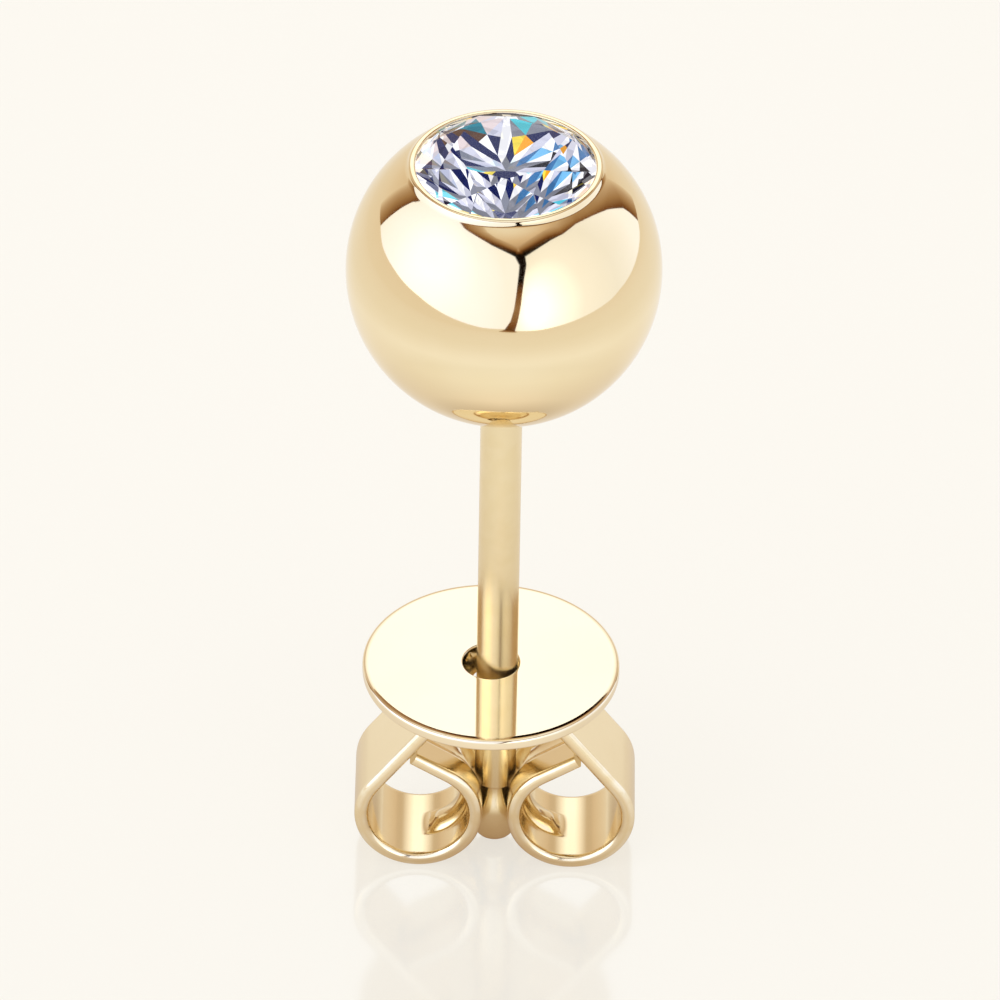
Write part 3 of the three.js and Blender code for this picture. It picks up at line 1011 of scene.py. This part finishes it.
def tone_by_distance(tree, spot, stops):
    """A colour that changes with the distance from a spot; stops are (metres, (red, green, blue))."""
    place = put(tree, "ShaderNodeTexCoord").outputs["Object"]
    away = put(tree, "ShaderNodeVectorMath", {0: place, 1: spot}, operation="DISTANCE").outputs["Value"]
    reach = stops[-1][0]
    share = sum_up(tree, "DIVIDE", away, reach)
    return ramp(tree, share, [(distance / reach, colour) for distance, colour in stops])


def shine(tree, tone, strength=1.0):
    """Ends a material's tree: it only gives off light."""
    light = put(tree, "ShaderNodeEmission", {"Color": tone, "Strength": strength})
    put(tree, "ShaderNodeOutputMaterial", {"Surface": light.outputs[0]})


def glow(name, spot, stops, strength):
    """A light-giving sheet whose brightness changes with the distance from a spot on it."""
    material, tree = new_material(name, empty=True)
    shine(tree, tone_by_distance(tree, spot, stops), strength)
    return material


def card(name, facing, distance, corners, spot, stops, strength=1.0):
    """A light-giving sheet; its corners and its brightest spot lie in the directions given."""
    points = [on_card(facing, distance, *corner) for corner in corners]
    centre = on_card(facing, distance, *spot)
    return hang(name, points, [range(len(points))], glow(name + "_glow", centre, stops, strength))


print("helpers:", [helper.__name__ for helper in (ramp, tone_by_distance, shine, glow, card)])

# %% [markdown]
# Studios hang black cloth beside their lights, because a bright mirror needs dark lines to look
# round. Here the cloth's edge must fade as it does on the gold, so each of its points carries a shade,
# and the tones between black and the brown of the room are looked up from it. A border is laid out in
# rows that cross it; `fading` fills in a row from its two ends.

# %% Cloth with a soft edge
CLOTH_TONES = [(0.0, (0.005, 0.002, 0.001)), (0.12, (0.006, 0.003, 0.001)), (0.25, (0.2, 0.08, 0.025)),
               (0.4, (0.4, 0.24, 0.12)), (0.6, (0.56, 0.4, 0.27)), (0.8, (0.74, 0.6, 0.46)),
               (1.0, (0.9, 0.82, 0.72))]
BLACKEST, BROWNEST, BLACK_GAIN, DARK_RISE = 0.05, 0.3, 0.6, 0.09


def dark_cloth():
    """Cloth whose "shade" runs from black (0) over brown to the tone of the room (1)."""
    material, tree = new_material("dark_cloth", empty=True)
    shade = put(tree, "ShaderNodeAttribute", attribute_name="shade").outputs["Fac"]
    shine(tree, ramp(tree, shade, CLOTH_TONES))
    return material


def fading(inner, outer, dark_share, outer_shade):
    """One row of a border: dark from the inner direction for a share of the way, then fading.

    The narrower the dark share, the browner it starts.
    """
    middle = [i + (o - i) * dark_share for i, o in zip(inner, outer)]
    inner_shade = max(BLACKEST, BROWNEST - BLACK_GAIN * dark_share)
    return (*inner, inner_shade), (*middle, inner_shade + DARK_RISE), (*outer, outer_shade)


def border(name, facing, distance, rows, material):
    """A strip of cloth along a softbox; each row crosses it with (azimuth, elevation, shade) ends."""
    ends = [end for row in rows for end in row]
    across = len(rows[0])
    points = [on_card(facing, distance, azimuth, elevation) for azimuth, elevation, shade in ends]
    faces = [(i, i + 1, i + across + 1, i + across)
             for i in range(len(ends) - across) if (i + 1) % across]
    sheet = hang(name, points, faces, material)
    shades = sheet.data.attributes.new("shade", "FLOAT", "POINT")
    shades.data.foreach_set("value", [shade for azimuth, elevation, shade in ends])
    return sheet


print("cloth:", len(CLOTH_TONES), "tones from black to the room's")

# %% [markdown]
# Two large softboxes stand left and right of the camera, almost meeting in the middle. A single one
# overhead would be simpler, but it would leave the bead without the two bright windows that make gold
# look polished. Each card has its spot where the lamp is. A third light behind the earring fills the
# pad.

# %% Softboxes
CARD_DISTANCE = 0.45
LEFT_FACING, RIGHT_FACING, BACK_FACING = (-54, 0), (70, 0), (180, 40)
LEFT_BOX = [(2, -8), (5.5, -2), (8, 7), (10, 18), (12, 28), (15, 38), (12, 44), (-14, 52), (-49, 55),
            (-73, 53), (-99, 43), (-113, 28), (-115, 13), (-117, 2), (-105, 1), (-86, 1), (-61, -1),
            (-38, -5), (-14, -8)]
RIGHT_BOX = [(7, -9.5), (13, -10), (32, -11), (61, -12), (88, -10), (111, -9), (127, -8), (131, -7),
             (126, 6), (115, 20), (101, 32), (85, 41), (53, 47), (20, 43.5), (20, 38), (16, 28),
             (13.5, 18), (11.5, 7), (9.5, -2)]
WHITE_LIGHT, COOL_LIGHT = (1.0, 1.0, 1.0), (0.57, 0.595, 0.7)
SIDE_STRENGTH, BACK_STRENGTH = 2.0, 1.45
card("left_softbox", LEFT_FACING, CARD_DISTANCE, LEFT_BOX, (-62, 28),
     [(0.0, WHITE_LIGHT), (0.12, WHITE_LIGHT), (0.35, (0.62, 0.65, 0.82)), (0.75, COOL_LIGHT)],
     SIDE_STRENGTH)
card("right_softbox", RIGHT_FACING, CARD_DISTANCE, RIGHT_BOX, (22, 6),
     [(0.0, WHITE_LIGHT), (0.14, WHITE_LIGHT), (0.28, (0.7, 0.72, 0.8)), (0.42, (0.56, 0.57, 0.62)),
      (0.65, (0.51, 0.52, 0.57)), (1.0, COOL_LIGHT)], SIDE_STRENGTH)
card("back_softbox", BACK_FACING, CARD_DISTANCE, [(148, 20), (-148, 20), (-145, 43), (145, 43)],
     (180, 39), [(0.0, WHITE_LIGHT), (0.05, WHITE_LIGHT), (0.2, (0.46, 0.37, 0.28))], BACK_STRENGTH)
print("softboxes:", len(LEFT_BOX), "and", len(RIGHT_BOX), "corners, and a small one behind")

# %% [markdown]
# Dark cloth fills the gap between the softboxes and runs along their tops. On the bead it draws the
# black Y and fades outwards into the brown of the room, and the pad's falling edge mirrors the cloth
# along the back light's top as a dark line. Gaps between the lights alone would show the room there,
# which is too bright. The cloth hangs a little nearer than the lights, so that it covers their edges.

# %% Cloth along the softboxes
CLOTH_DISTANCE = 0.44
GAP_FACING = (12, 10)
GAP = [((-3, -10, 0.5), (10, -11, 0.5)), ((1, -8.5, 0.2), (8, -9.5, 0.2)),
       ((5, -2, 0.3), (10, -2, 0.3)), ((7.5, 7, 0.35), (12, 7, 0.35)),
       ((9.5, 18, 0.25), (14, 18, 0.25)), ((11.5, 28, 0.1), (16.5, 28, 0.1)),
       ((14, 38, 0), (20.5, 38, 0)), ((11, 44, 0), (21, 43.5, 0)), ((13, 48, 0.3), (18, 48, 0.3))]
LEFT_TOP = [fading((13, 43.5), (15, 51), 0.45, 0.6), fading((-14, 52), (-12, 58), 0.3, 0.65),
            fading((-30, 54.5), (-29, 61), 0.2, 0.75), fading((-49, 55), (-49, 62), 0.15, 0.8),
            fading((-73, 53), (-74, 61), 0.15, 0.85), fading((-99, 43), (-102, 53), 0.12, 0.85),
            fading((-113, 28), (-125, 38), 0.15, 0.9), fading((-115, 13), (-131, 16), 0.15, 0.9),
            fading((-117, 2), (-131, 0), 0.1, 0.9)]
RIGHT_TOP = [fading((19, 43), (15, 51), 0.45, 0.6), fading((53, 47), (52, 55), 0.3, 0.65),
             fading((68, 44.5), (69, 52), 0.2, 0.7), fading((85, 41), (87, 49), 0.15, 0.75),
             fading((101, 32), (107, 42), 0.12, 0.8), fading((115, 20), (124, 29), 0.15, 0.85),
             fading((126, 6), (139, 10), 0.18, 0.85), fading((131, -7), (142, -7), 0.15, 0.85)]
BACK_TOP = [((azimuth, 42, shade), (azimuth, 53, shade + 0.1), (azimuth, 60, 0.9)) for azimuth, shade in
            ((145, 0.5), (158, 0.3), (168, 0.0), (180, 0.0), (-173, 0.28), (-162, 0.4), (-145, 0.5))]
cloth = dark_cloth()
for name, facing, rows in (("in_the_gap", GAP_FACING, GAP), ("on_the_left_box", LEFT_FACING, LEFT_TOP),
                           ("on_the_right_box", RIGHT_FACING, RIGHT_TOP),
                           ("on_the_back_box", BACK_FACING, BACK_TOP)):
    border("cloth_" + name, facing, CLOTH_DISTANCE, rows, cloth)
    print("cloth", name, len(rows), "rows")

# %% [markdown]
# The floor is plain and pale. It gives off most of its own brightness, as a lit table does, so that
# the soft shadow under the earring stays faint, and a light gloss mirrors the clutch's loops. Gold
# sees another, smaller table than the camera does: with an endless floor the softboxes would be cut
# off at the horizon. That table glows with painted light, brightest in front of the earring, and
# carries a painted shadow where the earring stands.

# %% Floor and table
FLOOR_COLOUR = (0.965, 0.939, 0.863)
FLOOR_OWN_SHARE, FLOOR_LIT_SHARE = 0.2, 0.7
FLOOR_ROUGHNESS, FLOOR_GLOSS = 0.11, 1.75
FLOOR_REACH = 3.0
TABLE_REACH = 0.078
DISC_STEPS = 96
# The table seen by the gold is painted: painted light brightest a little in front of the earring.
TABLE_SPOT = (0, -0.005, 0)
TABLE_TONES = [(0.0, (1.25, 1.27, 1.3)), (0.006, (1.1, 1.12, 1.13)), (0.013, (1.0, 0.99, 0.97)),
               (0.018, (1.0, 0.98, 0.96)), (0.026, (0.94, 0.9, 0.85)), (0.034, (0.91, 0.86, 0.79)),
               (0.065, (0.89, 0.82, 0.74)), (0.09, (0.87, 0.79, 0.69))]
# A painted shadow on the table where the earring stands, darkest at its middle.
PAINTED_CONTACT_SHADOW_TONES = [(0.0, (0.32, 0.2, 0.12)), (0.0012, (0.47, 0.35, 0.25)), (0.003, (0.62, 0.53, 0.44)),
                 (0.006, (0.78, 0.7, 0.62)), (0.012, (0.91, 0.87, 0.82)), (0.02, (1.0, 1.0, 1.0))]


def disc(name, reach, height, material):
    """A flat round sheet under the earring."""
    mesh = bpy.data.meshes.new(name)
    shell = bmesh.new()
    bmesh.ops.create_circle(shell, cap_ends=True, segments=DISC_STEPS, radius=reach)
    shell.to_mesh(mesh)
    shell.free()
    for corner in mesh.vertices:
        corner.co.z = height
    mesh.materials.append(material)
    sheet = in_scene(name, mesh)
    return sheet


def floor_finish():
    """Pale, faintly glossy and partly lit from within."""
    material, tree = new_material("floor_finish")
    surface = tree.nodes["Principled BSDF"].inputs
    surface["Base Color"].default_value = (*[FLOOR_OWN_SHARE * c for c in FLOOR_COLOUR], 1)
    surface["Emission Color"].default_value = (*FLOOR_COLOUR, 1)
    surface["Emission Strength"].default_value = FLOOR_LIT_SHARE
    surface["Roughness"].default_value = FLOOR_ROUGHNESS
    surface["IOR"].default_value = FLOOR_GLOSS
    return material


def table_glow():
    """Painted light, brightest in front of the earring, and a painted shadow where the earring stands."""
    material, tree = new_material("table_glow", empty=True)
    lit = tone_by_distance(tree, TABLE_SPOT, TABLE_TONES)
    shaded = tone_by_distance(tree, (0, 0, 0), PAINTED_CONTACT_SHADOW_TONES)
    tone = put(tree, "ShaderNodeVectorMath", {0: lit, 1: shaded}, operation="MULTIPLY").outputs[0]
    shine(tree, tone)
    return material


floor = disc("floor", FLOOR_REACH, 0.0, floor_finish())
floor.visible_glossy = False
floor.visible_transmission = False
floor.visible_shadow = False
table = disc("table_seen_by_the_gold", TABLE_REACH, -0.01 * MM, table_glow())
table.visible_camera = False
table.visible_diffuse = False
print(f"floor {FLOOR_REACH:.0f} m, table {1000 * TABLE_REACH:.0f} mm in radius")

# %% [markdown]
# Beyond the lights is a plain room. The World shader gives it a tone by height: warm at the horizon,
# brown behind the lights' tops, and bright at the ceiling. A captured panorama is the usual room, but
# it would bring windows and lamps of its own into the mirror. The camera alone sees the floor's colour
# there, so that the picture has no horizon.

# %% The room
ROOM_TONES = [(-90, (0.92, 0.87, 0.8)), (-25, (0.88, 0.8, 0.71)), (-9, (0.87, 0.79, 0.69)),
              (1, (0.86, 0.76, 0.65)), (8, (0.83, 0.71, 0.58)), (18, (0.78, 0.64, 0.5)),
              (30, (0.68, 0.52, 0.38)), (45, (0.5, 0.35, 0.21)), (50, (0.56, 0.39, 0.25)),
              (56, (0.77, 0.6, 0.45)), (61, (0.88, 0.78, 0.68)), (66, (0.97, 0.95, 0.92)),
              (90, (1.0, 0.98, 0.95))]


def make_room():
    """A room whose brightness changes with the direction's elevation."""
    world = bpy.data.worlds.new("room")
    bpy.context.scene.world = world
    world.use_nodes = True
    tree = world.node_tree
    tree.nodes.clear()
    way = put(tree, "ShaderNodeTexCoord").outputs["Generated"]
    height = put(tree, "ShaderNodeSeparateXYZ", {0: way}).outputs[2]
    share = sum_up(tree, "MULTIPLY_ADD", height, 0.5, 0.5)
    tones = ramp(tree, share, [((math.sin(math.radians(e)) + 1) / 2, colour) for e, colour in ROOM_TONES])
    room = put(tree, "ShaderNodeBackground", {"Color": tones, "Strength": 1.0})
    seen = put(tree, "ShaderNodeBackground", {"Color": (*FLOOR_COLOUR, 1), "Strength": 1.0})
    is_camera = put(tree, "ShaderNodeLightPath").outputs["Is Camera Ray"]
    both = put(tree, "ShaderNodeMixShader", {0: is_camera, 1: room.outputs[0], 2: seen.outputs[0]})
    put(tree, "ShaderNodeOutputWorld", {"Surface": both.outputs[0]})


make_room()
bpy.context.scene.view_settings.view_transform = "Standard"
print("room:", len(ROOM_TONES), "tones from floor to ceiling")

# %% [markdown]
# ## The camera
# The portrait is taken from about 37 degrees above. A short lens close by would swell the bead, so the
# lens is long, as for most jewellery. The roll of one degree lets the earring lean to the right a little.

# %% Camera
CAMERA_PLACE = Vector((0, -0.164, 0.133065))
CAMERA_ROLL = math.radians(1.0)
SENSOR = 36.0
LENS = 386.0
NEAREST_SEEN = 0.001


def make_camera():
    """Looks at the middle of the earring, rolled by CAMERA_ROLL."""
    data = bpy.data.cameras.new("camera")
    data.sensor_width = SENSOR
    data.lens = LENS
    data.clip_start = NEAREST_SEEN
    camera = in_scene("camera", data)
    middle = (cad_box[0] + cad_box[1]) / 2
    look = (middle - CAMERA_PLACE).to_track_quat("-Z", "Y").to_matrix().to_4x4()
    roll = Matrix.Rotation(CAMERA_ROLL, 4, "Z")
    camera.matrix_world = Matrix.Translation(CAMERA_PLACE) @ look @ roll
    bpy.context.scene.camera = camera


make_camera()
print("camera at", [round(1000 * v) for v in CAMERA_PLACE], "mm, lens", LENS)

# %% [markdown]
# Last, the imported model's box is printed.

# %% Sizes
print("cad box", [[round(1000 * v, 3) for v in c] for c in cad_box])
